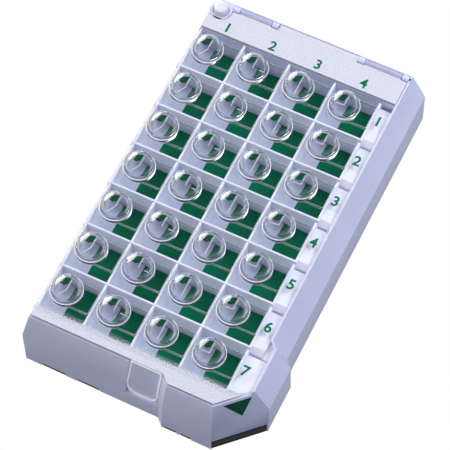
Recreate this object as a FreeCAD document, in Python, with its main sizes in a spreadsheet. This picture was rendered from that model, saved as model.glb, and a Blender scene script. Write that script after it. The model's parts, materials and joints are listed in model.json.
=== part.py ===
"""Weekly pill drawer organizer: a 7 x 4 cell pill box with press flaps, hinged lid and dose drawer.

X runs to the right, Y to the back and Z up, in millimetres. The origin lies on the base plane under
the middle of the cell grid. Row 1 is at the back, and column A is at the left.
"""
import FreeCAD, Part
import math
import os
import Sketcher

DRIVING_SIZES = {
    # cell grid
    "cell_pitch": 25.0, "row_count": 7, "column_count": 4,
    "row_wall": 1.0, "column_wall": 1.2, "rack_gap": 0.3,
    "floor_level": 16.0, "floor_sheet": 1.2, "wall_top": 32.5, "scoop_radius": 7.9,
    "left_wall_shift": 0.6, "left_wall": 0.9, "scoop_steps": 6,
    "lip_reach": 1.7, "lip_length": 5.0, "lip_low": 28.3, "lip_height": 2.6,
    # label pads beside column D
    "pad_right": 57.2, "pad_right_wide": 60.9, "pad_drop": 4.0, "pad_nose": 2.5, "pad_ridge": 1.0,
    "pad_thickness": 2.6, "pad_corner_wall": 1.5,
    # outline of the body at its top edge
    "body_height": 34.0, "edge_left": -49.9, "edge_right": 58.4, "edge_front": -93.4, "edge_back": 106.2,
    "bulge": 3.6, "bulge_left": 20.4, "bulge_back": -55.6, "corner_sum": 144.85,
    # outward reach of the crease and of the bottom rim, from the top edge
    "crease_drop": 13.5, "crease_right": 7.7, "crease_front": 5.5, "crease_corner": 5.1, "crease_left": 2.0,
    "foot_right": 8.2, "foot_front": 7.5, "foot_corner": 6.8, "foot_left": 0.6,
    "shell_wall": 2.0, "front_wall": 4.3, "deck_thickness": 1.6, "corner_round": 5.0, "edge_round": 1.0,
    "left_wall_drop": 4.5, "left_rim": 1.1,
    # frame that carries the floor sheet
    "frame_thickness": 1.5, "frame_width": 4.0, "frame_reach": 6.0,
    # lid
    "lid_thickness": 1.2, "lid_gap": 0.3, "lid_back_gap": 0.35,
    "hinge_y": 103.7, "barrel_radius": 1.8, "pin_radius": 0.8, "pin_clearance": 0.05, "pin_end_gap": 0.2,
    "hinge_block": 3.5, "left_bar_start": -39.0, "left_bar_end": -14.0,
    "right_bar_start": 30.0, "right_bar_end": 57.4, "trough_depth": 2.8, "back_lip": 0.5,
    # latch tongue at the front of the lid
    "tongue_left": 3.5, "tongue_right": 19.3, "tongue_length": 9.5, "tongue_thickness": 1.4,
    "tongue_round": 5.0, "latch_recess": 2.1, "recess_side": 0.7, "recess_low": 1.2,
    # press flaps
    "flap_radius": 8.1, "flap_offset": 9.9, "flap_shift": 0.3, "tab_reach": 14.7, "tab_width": 13.2,
    "flap_gap": 0.3, "disc_rise": 1.0, "flap_sides": 12,
    # dome profile: radius and height over the disc at each step
    "dome_radius": 7.2, "dome_height": 8.7, "dome_step": 2.2,
    "dome_radius_2": 5.9, "dome_height_2": 5.7, "dome_radius_3": 3.6, "dome_height_3": 7.8, "dome_cap": 1.2,
    # corner button
    "button_x": -44.7, "button_y": 100.1, "button_radius": 3.9, "button_top_radius": 3.4,
    "button_height": 3.2, "button_clearance": 0.3, "button_round": 0.6, "platform_radius": 5.7,
    "platform_front": 95.8, "stem_radius": 1.1, "ear_reach": 5.2, "ear_width": 3.0, "ear_height": 1.3,
    "button_depth": 10.0, "stem_length": 3.0, "post_wall": 0.6,
    "spring_height": 9.4, "spring_radius": 2.3, "spring_wire": 0.7, "spring_gap": 0.05,
    "spring_turns": 5, "spring_sides": 8,
    # base plate and screws
    "base_thickness": 1.5, "base_gap": 0.3, "screw_radius": 1.25, "screw_clearance": 0.05,
    "screw_head": 2.6, "screw_head_height": 1.0, "screw_length": 9.0, "boss_radius": 3.0, "screw_y": 96.0,
    "screw_left": -20.0, "screw_right": 40.0, "head_gap": 0.2, "screw_sink": 0.1, "hole_depth": 1.5,
    "screw_sides": 16, "post_sides": 12,
    # clips on the base plate's front edge: left and right ends of each
    "clip_1_left": -41.5, "clip_1_right": -29.5, "clip_2_left": -22.8, "clip_2_right": -11.2,
    "clip_3_left": 24.9, "clip_3_right": 31.4, "clip_4_left": 33.7, "clip_4_right": 39.4,
    "clip_inset": 0.2, "clip_root": 4.0,
    # dose drawer in the cut corner
    "slot_width": 27.5, "slot_height": 6.8, "drawer_gap": 0.3, "drawer_length": 29.0, "drawer_wall": 1.2,
    "drawer_floor": 0.9, "drawer_inset": 0.4, "drawer_nose": 0.6, "slot_depth": 12.0, "runner_back": 27.0,
    "runner_front": 8.0, "runner_drop": 1.0,
    # collector under the floor sheet
    "hopper_wall": 1.2, "hopper_rim": 3.0, "hopper_left": -45.0, "hopper_right": 53.0, "hopper_front": -87.0,
    "hopper_back": 85.0, "outlet_size": 13.0, "outlet_x": 46.0, "outlet_y": -79.0, "outlet_level": 7.6,
}

doc = FreeCAD.newDocument("pill_organizer")
sheet = doc.addObject("Spreadsheet::Sheet", "Dims")
for line_number, (size_name, number) in enumerate(DRIVING_SIZES.items(), start=1):
    sheet.set(f"A{line_number}", size_name)
    sheet.set(f"B{line_number}", str(number))
    sheet.setAlias(f"B{line_number}", size_name)
doc.recompute()


class Size:
    """A length that knows its number and the sheet expression it came from."""

    def __init__(self, number, text):
        self.number = float(number)
        self.text = text

    def joined(self, other, sign, number):
        return Size(number, f"({self.text} {sign} {as_size(other).text})")

    def __add__(self, other):
        return self.joined(other, "+", self.number + as_size(other).number)

    def __radd__(self, other):
        return as_size(other) + self

    def __sub__(self, other):
        return self.joined(other, "-", self.number - as_size(other).number)

    def __rsub__(self, other):
        return as_size(other) - self

    def __mul__(self, other):
        return self.joined(other, "*", self.number * as_size(other).number)

    def __rmul__(self, other):
        return self * other

    def __truediv__(self, other):
        return self.joined(other, "/", self.number / as_size(other).number)

    def __neg__(self):
        return Size(-self.number, f"(0 - {self.text})")


def as_size(value):
    return value if isinstance(value, Size) else Size(value, f"({value!r})")


def dim(name):
    return Size(sheet.get(name), f"Dims.{name}")


ROOT_TWO = Size(math.sqrt(2), "sqrt(2)")
ZERO = as_size(0.0)
ROWS = int(dim("row_count").number)
COLUMNS = int(dim("column_count").number)


# ---------------------------------------------------------------- document helpers
def bind(feature, prop, size):
    feature.setExpression(prop, as_size(size).text)


def new_body(name):
    body = doc.addObject("PartDesign::Body", name)
    body.Label = name
    return body


def place(body, x=None, y=None, z=None):
    for axis, size in (("x", x), ("y", y), ("z", z)):
        if size is not None:
            bind(body, f".Placement.Base.{axis}", size)


def new_sketch(body, name, role, offset):
    sketch = body.newObject("Sketcher::SketchObject", name)
    plane = next(item for item in body.Origin.OriginFeatures if item.Role == role)
    sketch.AttachmentSupport = [(plane, "")]
    sketch.MapMode = "FlatFace"
    bind(sketch, ".AttachmentOffset.Base.z", offset)
    return sketch


def pin_point(sketch, element, position, x, y):
    """Holds one point of a sketch at sheet-driven distances from its origin."""
    for kind, size in (("DistanceX", x), ("DistanceY", y)):
        index = sketch.addConstraint(Sketcher.Constraint(kind, -1, 1, element, position, size.number))
        sketch.setExpression(f"Constraints[{index}]", size.text)


def towards(start, goal):
    """Sign of the step from one size to another, or 0 where they agree."""
    step = goal.number - start.number
    return 0 if abs(step) < 1e-6 else math.copysign(1, step)


def add_polygon(sketch, corners):
    """Draws a closed outline, anticlockwise. A corner with a third value, its radius, joins an X side
    and a Y side, and is rounded by it."""
    corners = [tuple(as_size(value) for value in corner) for corner in corners]
    first = sketch.GeometryCount
    nodes = []
    for index, (x, y, *radius) in enumerate(corners):
        if not radius:
            nodes.append((x, y, None, None))
            continue
        radius = radius[0]
        before, after = corners[index - 1], corners[(index + 1) % len(corners)]
        nodes.append((x + radius * towards(x, before[0]), y + radius * towards(y, before[1]), radius,
                      FreeCAD.Vector(x.number, y.number, 0)))
        nodes.append((x + radius * towards(x, after[0]), y + radius * towards(y, after[1]), None, None))
    points = [FreeCAD.Vector(node[0].number, node[1].number, 0) for node in nodes]
    count = len(nodes)
    for index, (x, y, radius, corner) in enumerate(nodes):
        start, end = points[index], points[(index + 1) % count]
        if radius is None:
            sketch.addGeometry(Part.LineSegment(start, end), False)
            continue
        centre = start + end - corner
        middle = centre + (corner - centre).normalize() * radius.number
        element = sketch.addGeometry(Part.Arc(start, middle, end), False)
        number = sketch.addConstraint(Sketcher.Constraint("Radius", element, radius.number))
        sketch.setExpression(f"Constraints[{number}]", radius.text)
    for index in range(count):
        following = first + (index + 1) % count
        sketch.addConstraint(Sketcher.Constraint("Coincident", first + index, 2, following, 1))
    for index, (x, y, radius, corner) in enumerate(nodes):
        pin_point(sketch, first + index, 1, x, y)


def add_circle(sketch, centre, radius):
    x, y = (as_size(value) for value in centre)
    radius = as_size(radius)
    middle = FreeCAD.Vector(x.number, y.number, 0)
    element = sketch.addGeometry(Part.Circle(middle, FreeCAD.Vector(0, 0, 1), radius.number), False)
    index = sketch.addConstraint(Sketcher.Constraint("Radius", element, radius.number))
    sketch.setExpression(f"Constraints[{index}]", radius.text)
    pin_point(sketch, element, 3, x, y)


def rectangle(x0, x1, y0, y1):
    return [(x0, y0), (x1, y0), (x1, y1), (x0, y1)]


def regular_polygon(x, y, inner_radius, sides):
    """Corners of a regular polygon given by the radius of the circle inside it, anticlockwise."""
    step = 2 * math.pi / sides
    outer = inner_radius / math.cos(step / 2)
    angles = [step * (index + 0.5) for index in range(sides)]
    return [(x + outer * math.cos(angle), y + outer * math.sin(angle)) for angle in angles]


def extrude(body, name, role, low, high, polygons=(), circles=(), cut=False):
    """Pads or pockets outlines between two levels along the axis that the plane faces."""
    low, high = as_size(low), as_size(high)
    offset = -high if role == "XZ_Plane" else low
    sketch = new_sketch(body, name + "_outline", role, offset)
    for corners in polygons:
        add_polygon(sketch, corners)
    for centre, radius in circles:
        add_circle(sketch, centre, radius)
    feature = body.newObject("PartDesign::Pocket" if cut else "PartDesign::Pad", name)
    feature.Profile = sketch
    feature.Reversed = cut
    bind(feature, "Length", high - low)
    return feature


def loft(body, name, sections, cut=False):
    """Joins horizontal outlines, each given as its level and corners, by flat faces."""
    sketches = []
    for number, (level, corners) in enumerate(sections, start=1):
        sketch = new_sketch(body, f"{name}_level_{number}", "XY_Plane", as_size(level))
        add_polygon(sketch, corners)
        sketches.append(sketch)
    feature = body.newObject("PartDesign::SubtractiveLoft" if cut else "PartDesign::AdditiveLoft", name)
    feature.Profile = sketches[0]
    feature.Sections = sketches[1:]
    feature.Ruled = True
    return feature


def repeat(body, name, originals, axis_role, count, length):
    pattern = body.newObject("PartDesign::LinearPattern", name)
    pattern.Originals = originals
    axis = next(item for item in body.Origin.OriginFeatures if item.Role == axis_role)
    pattern.Direction = (axis, [""])
    bind(pattern, "Length", length)
    bind(pattern, "Occurrences", count)
    body.Tip = pattern
    return pattern


# ---------------------------------------------------------------- shared places
pitch = dim("cell_pitch")
half_rows = dim("row_count") * pitch / 2
half_columns = dim("column_count") * pitch / 2
wall_top = dim("wall_top")
body_height = dim("body_height")
lid_low = body_height - dim("lid_thickness")
hinge_level = body_height - dim("lid_thickness") / 2
deck_low = wall_top - dim("deck_thickness")
sheet_low = dim("floor_level") - dim("floor_sheet")
frame_low = sheet_low - dim("frame_thickness")
crease_level = body_height - dim("crease_drop")
opening_front = -half_rows - dim("row_wall") / 2 - dim("rack_gap")
opening_back = half_rows - dim("row_wall") / 2
opening_right = dim("pad_right") + dim("rack_gap")
opening_right_wide = dim("pad_right_wide") + dim("rack_gap")
pad_low = wall_top - dim("pad_drop") - dim("pad_thickness")
band_front = dim("platform_front") - dim("rack_gap")
rack_left = -half_columns + dim("left_wall_shift")
trough_floor = wall_top + dim("lid_gap") + dim("lid_thickness") - dim("trough_depth")


def row_front(row):
    """Y of the wall line at the front of a row."""
    return half_rows - pitch * row


def column_left(column):
    """X of the wall line at the left of a column, counted from 0."""
    return pitch * column - half_columns


def reach_point(level, inset=None):
    """Outward reaches of the right, front, corner and left faces at one of the three levels."""
    inset = inset or ZERO
    if level == "top":
        return [ZERO - inset, ZERO - inset, ZERO - inset, ZERO - inset]
    if level == "crease":
        names = ("crease_right", "crease_front", "crease_corner", "crease_left")
    else:
        names = ("foot_right", "foot_front", "foot_corner", "foot_left")
    return [dim(name) - inset for name in names]


def outline(reaches, front_extra=None, back=None, back_round=None):
    """Corners of the body's outline for the given outward reaches, anticlockwise."""
    right, front, corner, left = reaches
    if front_extra is not None:
        front = front - front_extra
    back = dim("edge_back") if back is None else back
    bulge = dim("bulge")
    x_left = dim("edge_left") - left
    x_right = dim("edge_right") + right
    y_front = dim("edge_front") - front
    diagonal = dim("corner_sum") + ROOT_TWO * corner
    y_bulge = y_front - bulge
    x_bulge = x_right + bulge
    return [
        (x_left, y_front),
        (dim("bulge_left"), y_front),
        (dim("bulge_left") + bulge, y_bulge),
        (diagonal + y_bulge, y_bulge),
        (x_bulge, x_bulge - diagonal),
        (x_bulge, dim("bulge_back") - bulge),
        (x_right, dim("bulge_back")),
        (x_right, back),
        (x_left, back, dim("corner_round") if back_round is None else back_round),
    ]


# ---------------------------------------------------------------- upper housing
def hinge_spans():
    return [(dim("left_bar_start"), dim("left_bar_end")), (dim("right_bar_start"), dim("right_bar_end"))]


def opening_corners(gap):
    """The stepped right-hand boundary shared by the racks' opening and the lid's recess."""
    shoulder = dim("bulge_back")
    widening = dim("pad_right_wide") - dim("pad_right")
    right = dim("pad_right") + gap
    return [(right + widening, shoulder - widening), (right, shoulder)]


def make_upper_housing():
    body = new_body("upper_housing")
    loft(body, "Shell", [
        (ZERO, outline(reach_point("foot"))),
        (crease_level, outline(reach_point("crease"))),
        (body_height, outline(reach_point("top"))),
    ])
    wall = dim("shell_wall")
    inner_back = dim("edge_back") - wall
    extra = dim("front_wall") - wall
    inner_round = dim("corner_round") - wall
    loft(body, "Hollow", [
        (ZERO, outline(reach_point("foot", wall), extra, inner_back, inner_round)),
        (crease_level, outline(reach_point("crease", wall), extra, inner_back, inner_round)),
        (deck_low, outline(reach_point("top", wall), extra, inner_back, inner_round)),
    ], cut=True)
    past = 5.0
    far = dim("edge_left") - dim("crease_left") - past
    near = dim("edge_front") - dim("front_wall") - past * 5
    steps = opening_corners(dim("rack_gap"))
    right = steps[1][0]
    recess_back = dim("edge_back") - dim("back_lip")
    # recess that the lid lies in, open to the left, the front and the cut corner
    extrude(body, "LidRecess", "XY_Plane", wall_top, body_height + 1, cut=True, polygons=[[
        (far, near), (opening_right_wide, near), *steps, (right, recess_back), (far, recess_back)]])
    diagonal = dim("corner_sum") - ROOT_TWO * dim("pad_corner_wall")
    left = rack_left - dim("rack_gap")
    extrude(body, "RackOpening", "XY_Plane", pad_low - dim("rack_gap"), body_height, cut=True, polygons=[[
        (left, opening_front), (diagonal + opening_front, opening_front),
        (opening_right_wide, opening_right_wide - diagonal), *steps, (right, opening_back),
        (left, opening_back)]])
    extrude(body, "RackSide", "XY_Plane", sheet_low, deck_low, cut=True,
            polygons=[rectangle(left, rack_left + past, opening_front, opening_back)])
    # the left wall stands lower beside the racks, so that their finger lips reach over it
    extrude(body, "LeftWallDrop", "XY_Plane", wall_top - dim("left_wall_drop"), body_height, cut=True,
            polygons=[rectangle(far, dim("edge_left") + dim("left_rim"), opening_front, opening_back)])
    # trough that the lid's back edge turns down into
    trough_front = dim("hinge_y") - dim("barrel_radius") - dim("flap_gap")
    extrude(body, "HingeTrough", "XY_Plane", trough_floor, body_height, cut=True, polygons=[rectangle(
        dim("left_bar_start") - dim("rack_gap"), right, trough_front, recess_back)])
    curtain_back = opening_back + dim("row_wall")
    extrude(body, "TroughFloor", "XY_Plane", trough_floor - dim("deck_thickness"), trough_floor,
            polygons=[rectangle(dim("edge_left") + wall, dim("edge_right"), curtain_back,
                                dim("edge_back") - wall / 2)])
    # back wall of row 1, down to the frame that carries the floor sheet
    extrude(body, "BackCurtain", "XY_Plane", sheet_low, wall_top, polygons=[rectangle(
        dim("edge_left") + dim("left_rim"), opening_right, opening_back, curtain_back)])
    add_platform(body)
    for side, (start, end) in zip(("Left", "Right"), hinge_spans()):
        add_hinge_blocks(body, side, start, end)
    add_latch_recess(body)
    add_drawer_slot(body)
    add_base_fixings(body)
    return body


def add_platform(body):
    """Raised corner round the button, flush with the lid's top."""
    x, y = dim("button_x"), dim("button_y")
    gap = dim("rack_gap")
    extrude(body, "Platform", "XY_Plane", deck_low, body_height, circles=[((x, y), dim("platform_radius"))])
    extrude(body, "PlatformSide", "XY_Plane", deck_low, body_height, polygons=[rectangle(
        dim("edge_left"), x, dim("platform_front"), y)])
    extrude(body, "PlatformBack", "XY_Plane", deck_low, body_height, polygons=[rectangle(
        x, x + dim("platform_radius") - gap, y, dim("edge_back") - dim("back_lip") / 2)])
    extrude(body, "ButtonHole", "XY_Plane", deck_low - dim("button_depth"), body_height + 1, cut=True,
            circles=[((x, y), dim("button_radius") + dim("button_clearance"))])


def add_hinge_blocks(body, side, start, end):
    """Two knuckles that stand in the trough and hold the ends of a hinge pin."""
    radius = dim("barrel_radius")
    axis = (dim("hinge_y"), hinge_level)
    block = dim("hinge_block")
    for part, low in (("Outer", start), ("Inner", end - block)):
        extrude(body, side + part + "Knuckle", "YZ_Plane", low, low + block, circles=[(axis, radius)])
        extrude(body, side + part + "Foot", "YZ_Plane", low, low + block, polygons=[rectangle(
            axis[0] - radius, axis[0] + radius, trough_floor - 0.5, axis[1])])
    hole = dim("pin_radius") + dim("pin_clearance")
    extrude(body, side + "PinHole", "YZ_Plane", start, end + 1, cut=True, circles=[(axis, hole)])


def front_face_y(level_name):
    return dim("edge_front") - {"top": ZERO, "crease": dim("crease_front"), "foot": dim("foot_front")}[level_name]


def front_strip(depth_out, depth_in, low, high):
    """Strip along the slanted front face, between two depths behind it, from low up to high."""
    lower_slope = (dim("foot_front") - dim("crease_front")) / crease_level
    upper_slope = dim("crease_front") / dim("crease_drop")
    y_low = front_face_y("crease") - lower_slope * (crease_level - low)
    y_crease = front_face_y("crease")
    y_high = front_face_y("top") - upper_slope * (body_height - high)
    return [(y_low + depth_out, low), (y_low + depth_in, low), (y_crease + depth_in, crease_level),
            (y_high + depth_in, high), (y_high + depth_out, high), (y_crease + depth_out, crease_level)]


def add_latch_recess(body):
    """Pocket in the front face that the lid's latch tongue lies in."""
    side = dim("recess_side")
    low = crease_level - dim("tongue_length") - dim("recess_low")
    proud = dim("bulge") + dim("lid_gap")
    extrude(body, "LatchRecess", "YZ_Plane", dim("tongue_left") - side, dim("tongue_right") + side, cut=True,
            polygons=[front_strip(-proud, dim("latch_recess"), low, body_height)])
    extrude(body, "LatchRecessTop", "YZ_Plane", dim("tongue_left") - side, dim("tongue_right") + side,
            cut=True, polygons=[rectangle(front_face_y("top") - proud, front_face_y("top") + dim("latch_recess"),
                                          body_height - 1, body_height + 1)])


def corner_frame(along, across):
    """X and Y of a point given along the drawer's outward axis and across it."""
    return (along + across) / ROOT_TWO, (across - along) / ROOT_TWO


def corner_axis_across():
    """Place of the drawer's centre line, across its axis."""
    y_front = dim("edge_front") - dim("foot_front") - dim("bulge")
    x_right = dim("edge_right") + dim("foot_right") + dim("bulge")
    diagonal = corner_plane_sum()
    first_sum = (diagonal + y_front) + y_front
    second_sum = x_right + (x_right - diagonal)
    return (first_sum + second_sum) / 2 / ROOT_TWO


def corner_plane_sum():
    return dim("corner_sum") + ROOT_TWO * dim("foot_corner")


def corner_block(along_low, along_high, half_width):
    middle = corner_axis_across()
    return [
        corner_frame(along_low, middle - half_width), corner_frame(along_high, middle - half_width),
        corner_frame(along_high, middle + half_width), corner_frame(along_low, middle + half_width),
    ]


def add_drawer_slot(body):
    face = corner_plane_sum() / ROOT_TWO
    extrude(body, "DrawerSlot", "XY_Plane", as_size(-1.0), dim("slot_height"), cut=True,
            polygons=[corner_block(face - dim("slot_depth"), face + 1, dim("slot_width") / 2)])


def clip_places():
    """Left edge, right edge and front face of each base-plate clip."""
    front = dim("edge_front") - dim("foot_front")
    fronts = [front, front, front - dim("bulge"), front - dim("bulge")]
    return [(dim(f"clip_{number}_left"), dim(f"clip_{number}_right"), y)
            for number, y in enumerate(fronts, start=1)]


def screw_sites():
    return [(dim("screw_left"), dim("screw_y")), (dim("screw_right"), dim("screw_y"))]


def screw_holes():
    return [(site, dim("screw_radius") + dim("screw_clearance")) for site in screw_sites()]


def add_base_fixings(body):
    """Notches for the base plate's clips, and the two screw bosses."""
    gap = dim("base_gap")
    deep = dim("front_wall") + dim("shell_wall")
    extrude(body, "ClipNotches", "XY_Plane", as_size(-1.0), dim("base_thickness") + gap, cut=True,
            polygons=[rectangle(left - gap, right + gap, y - dim("shell_wall"), y + deep)
                      for left, right, y in clip_places()])
    extrude(body, "ScrewBosses", "XY_Plane", dim("base_thickness"), trough_floor - dim("deck_thickness") / 2,
            circles=[(site, dim("boss_radius")) for site in screw_sites()])
    extrude(body, "ScrewHoles", "XY_Plane", ZERO, dim("screw_length") + dim("hole_depth"), cut=True,
            circles=screw_holes())


# ---------------------------------------------------------------- base plate and screws
def make_base_plate():
    body = new_body("base_plate")
    inset = dim("shell_wall") + dim("base_gap")
    extra = dim("front_wall") - dim("shell_wall")
    extrude(body, "Plate", "XY_Plane", ZERO, dim("base_thickness"),
            polygons=[outline(reach_point("foot", inset), extra, dim("edge_back") - inset,
                              dim("corner_round") - inset)])
    extrude(body, "Clips", "XY_Plane", ZERO, dim("base_thickness"),
            polygons=[rectangle(left, right, y + dim("clip_inset"), y + dim("front_wall") + dim("clip_root"))
                      for left, right, y in clip_places()])
    post_top = spring_seat_level()
    centre = (dim("button_x"), dim("button_y"))
    extrude(body, "SpringPost", "XY_Plane", ZERO, post_top, polygons=[regular_polygon(
        *centre, dim("spring_radius") + dim("post_wall"), int(dim("post_sides").number))])
    extrude(body, "StemHole", "XY_Plane", dim("base_thickness"), post_top + 1, cut=True,
            circles=[(centre, dim("stem_radius") + dim("button_clearance"))])
    face = corner_plane_sum() / ROOT_TWO
    half_width = dim("slot_width") / 2
    middle = corner_axis_across()
    rail = dim("drawer_wall")
    for name, side in (("LeftRunner", -1), ("RightRunner", 1)):
        inner = middle + side * half_width
        outer = inner + side * rail
        low, high = (outer, inner) if side < 0 else (inner, outer)
        back, front = face - dim("runner_back"), face - dim("runner_front")
        extrude(body, name, "XY_Plane", ZERO, dim("slot_height") - dim("runner_drop"), polygons=[[
            corner_frame(back, low), corner_frame(front, low),
            corner_frame(front, high), corner_frame(back, high)]])
    extrude(body, "ScrewHoles", "XY_Plane", ZERO, dim("base_thickness") + 1, cut=True, circles=screw_holes())
    extrude(body, "HeadSeats", "XY_Plane", ZERO, dim("screw_head_height") + dim("screw_sink"), cut=True,
            circles=[(site, dim("screw_head") + dim("head_gap")) for site in screw_sites()])
    return body


def make_base_screws():
    """Two identical screws, modelled from one primitive pair each."""
    screws = []
    for name, x in (("left", dim("screw_left")), ("right", dim("screw_right"))):
        head = doc.addObject("Part::Prism", f"screw_head_{name}")
        bind(head, "Circumradius", dim("screw_head"))
        bind(head, "Height", dim("screw_head_height"))
        shank = doc.addObject("Part::Prism", f"screw_shank_{name}")
        bind(shank, "Circumradius", dim("screw_radius"))
        bind(shank, "Height", dim("screw_length"))
        bind(head, "Polygon", dim("screw_sides"))
        bind(shank, "Polygon", dim("screw_sides"))
        for part in (head, shank):
            place(part, x, dim("screw_y"), dim("screw_sink"))
        screw = doc.addObject("Part::Fuse", f"screw_{name}")
        screw.Base = head
        screw.Tool = shank
        screws.append(screw)
    group = doc.addObject("Part::Compound", "base_screws")
    group.Label = "base_screws"
    group.Links = screws
    return group


# ---------------------------------------------------------------- inside pieces
def make_sheet_frame():
    """Flat ring under the floor sheet, held between the back curtain and the collector's mouth."""
    body = new_body("sheet_frame")
    width, reach = dim("frame_width"), dim("frame_reach")
    left = dim("edge_left") + dim("left_rim")
    extrude(body, "Ring", "XY_Plane", frame_low, sheet_low, polygons=[rectangle(
        left, half_columns + reach, -half_rows - dim("row_wall"), opening_back + dim("row_wall"))])
    extrude(body, "Window", "XY_Plane", frame_low - 1, sheet_low + 1, cut=True, polygons=[rectangle(
        width - half_columns, half_columns, width - half_rows, half_rows - width)])
    return body


def make_floor_sheet():
    body = new_body("floor_sheet")
    gap = dim("rack_gap")
    extrude(body, "Sheet", "XY_Plane", sheet_low, dim("floor_level"), polygons=[rectangle(
        dim("edge_left") + dim("left_rim") + gap, half_columns + dim("frame_reach") - gap,
        opening_front + gap, opening_back - gap)])
    return body


def make_wedge(name, low, low_sides, high, high_sides):
    """Flat-sided funnel between two upright rectangles, each given as left, right, front and back."""
    wedge = doc.addObject("Part::Wedge", name)
    names = (("Xmin", "Xmax", "Zmax", "Zmin"), ("X2min", "X2max", "Z2max", "Z2min"))
    for props, (left, right, front, back) in zip(names, (low_sides, high_sides)):
        for prop, size in zip(props, (left, right, -front, -back)):
            bind(wedge, prop, size)
    bind(wedge, "Ymin", low)
    bind(wedge, "Ymax", high)
    wedge.Placement.Rotation = FreeCAD.Rotation(FreeCAD.Vector(1, 0, 0), 90)
    return wedge


def make_collector():
    """Oblique hopper that leads from under the floor sheet to the drawer."""
    half = dim("outlet_size") / 2
    x, y = dim("outlet_x"), dim("outlet_y")

    def mouth(inset):
        return (dim("hopper_left") + inset, dim("hopper_right") - inset,
                dim("hopper_front") + inset, dim("hopper_back") - inset)

    def outlet(inset):
        return x - half + inset, x + half - inset, y - half + inset, y + half - inset

    wall = dim("hopper_wall")
    floor = dim("outlet_level") + wall
    hole = doc.addObject("Part::Box", "hopper_hole")
    for prop, size in (("Length", dim("outlet_size") - 2 * wall), ("Width", dim("outlet_size") - 2 * wall),
                       ("Height", 2 * wall)):
        bind(hole, prop, size)
    place(hole, x - half + wall, y - half + wall, dim("outlet_level") - wall / 2)
    inside = doc.addObject("Part::Fuse", "hopper_space")
    inside.Base = make_wedge("hopper_inside", floor, outlet(wall), frame_low, mouth(dim("hopper_rim")))
    inside.Tool = hole
    hopper = doc.addObject("Part::Cut", "collector")
    hopper.Label = "collector"
    hopper.Base = make_wedge("hopper_outside", dim("outlet_level"), outlet(ZERO), frame_low, mouth(ZERO))
    hopper.Tool = inside
    return hopper


def make_day_rack(row):
    """Comb of one row: front wall, five column walls with scoops, label pad and finger lip."""
    body = new_body(f"day_rack_{row}")
    floor = dim("floor_level")
    front = row_front(row)
    half_wall = dim("row_wall") / 2
    half_column = dim("column_wall") / 2
    back = front + pitch - half_wall - dim("rack_gap")
    left = rack_left
    extrude(body, "FrontWall", "XY_Plane", floor, wall_top,
            polygons=[rectangle(left, half_columns + half_column, front - half_wall, front + half_wall)])
    extrude(body, "LeftWall", "XY_Plane", floor, wall_top,
            polygons=[rectangle(left, left + dim("left_wall"), front, back)])
    # the last wall stops short of the nose of the label pad behind it
    short = front + pitch + dim("pad_ridge") - dim("pad_nose") - dim("rack_gap")
    for number in range(COLUMNS):
        line = column_left(number + 1)
        end = short if number == COLUMNS - 1 else back
        extrude(body, f"ColumnWall{number + 1}", "XY_Plane", floor, wall_top,
                polygons=[rectangle(line - half_column, line + half_column, front, end)])
    add_scoops(body, front, back)
    right = dim("pad_right_wide") if row == ROWS else dim("pad_right")
    ridge = front + dim("pad_ridge")
    nose_front = ridge - dim("pad_nose")
    pad_back = back + dim("pad_ridge") - dim("pad_nose")
    extrude(body, "LabelPad", "YZ_Plane", half_columns, right, polygons=[[
        (nose_front, pad_low), (pad_back, pad_low), (pad_back, pad_low + dim("pad_thickness")),
        (ridge, wall_top), (nose_front, wall_top - dim("pad_nose"))]])
    if row == ROWS:
        far = dim("pad_right_wide") + 1
        near = nose_front - 1
        diagonal = dim("corner_sum") - ROOT_TWO * (dim("pad_corner_wall") + dim("rack_gap"))
        extrude(body, "PadCorner", "XY_Plane", floor, wall_top + 1, cut=True, polygons=[[
            (diagonal + near, near), (far, near), (far, far - diagonal)]])
    # finger lip over the housing's left wall
    extrude(body, "FingerLip", "XY_Plane", dim("lip_low"), dim("lip_low") + dim("lip_height"),
            polygons=[rectangle(left - dim("lip_reach"), left + half_column,
                                front - half_wall, front + dim("lip_length"))])
    return body


def add_scoops(body, front, back):
    """Concave ramps at the left of each cell, tangent to the wall and to the floor."""
    radius = dim("scoop_radius")
    floor = dim("floor_level")
    steps = int(dim("scoop_steps").number)
    angles = [math.pi / 2 * index / steps for index in range(steps + 1)]
    ramps = []
    for number in range(COLUMNS):
        face = column_left(number) + dim("column_wall") / 2
        root = face - dim("column_wall") / 2
        if number == 0:
            face = rack_left + dim("left_wall")
            root = rack_left
        curve = [(face + radius * (1 - math.sin(angle)), floor + radius * (1 - math.cos(angle)))
                 for angle in angles]
        ramps.append([(root, floor), *curve, (root, floor + radius)])
    extrude(body, "Scoops", "XZ_Plane", front, back, polygons=ramps)


# ---------------------------------------------------------------- lid
def make_lid():
    """Flat clear plate over the cells, with the keyholes that the press flaps lie in."""
    body = new_body("lid")
    gap = dim("lid_gap")
    corners = outline(reach_point("top", gap))
    right_wide, right = opening_corners(ZERO)
    diagonal = dim("corner_sum") - ROOT_TWO * gap
    left = corners[0][0]
    extrude(body, "Plate", "XY_Plane", lid_low, body_height, polygons=[[
        *corners[:4], (right_wide[0], right_wide[0] - diagonal), right_wide, right,
        (right[0], band_front), (left, band_front)]])
    extrude(body, "ButtonNotch", "XY_Plane", lid_low - 1, body_height + 1, cut=True,
            circles=[((dim("button_x"), dim("button_y")), dim("platform_radius") + gap)])
    add_keyholes(body)
    return body


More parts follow.
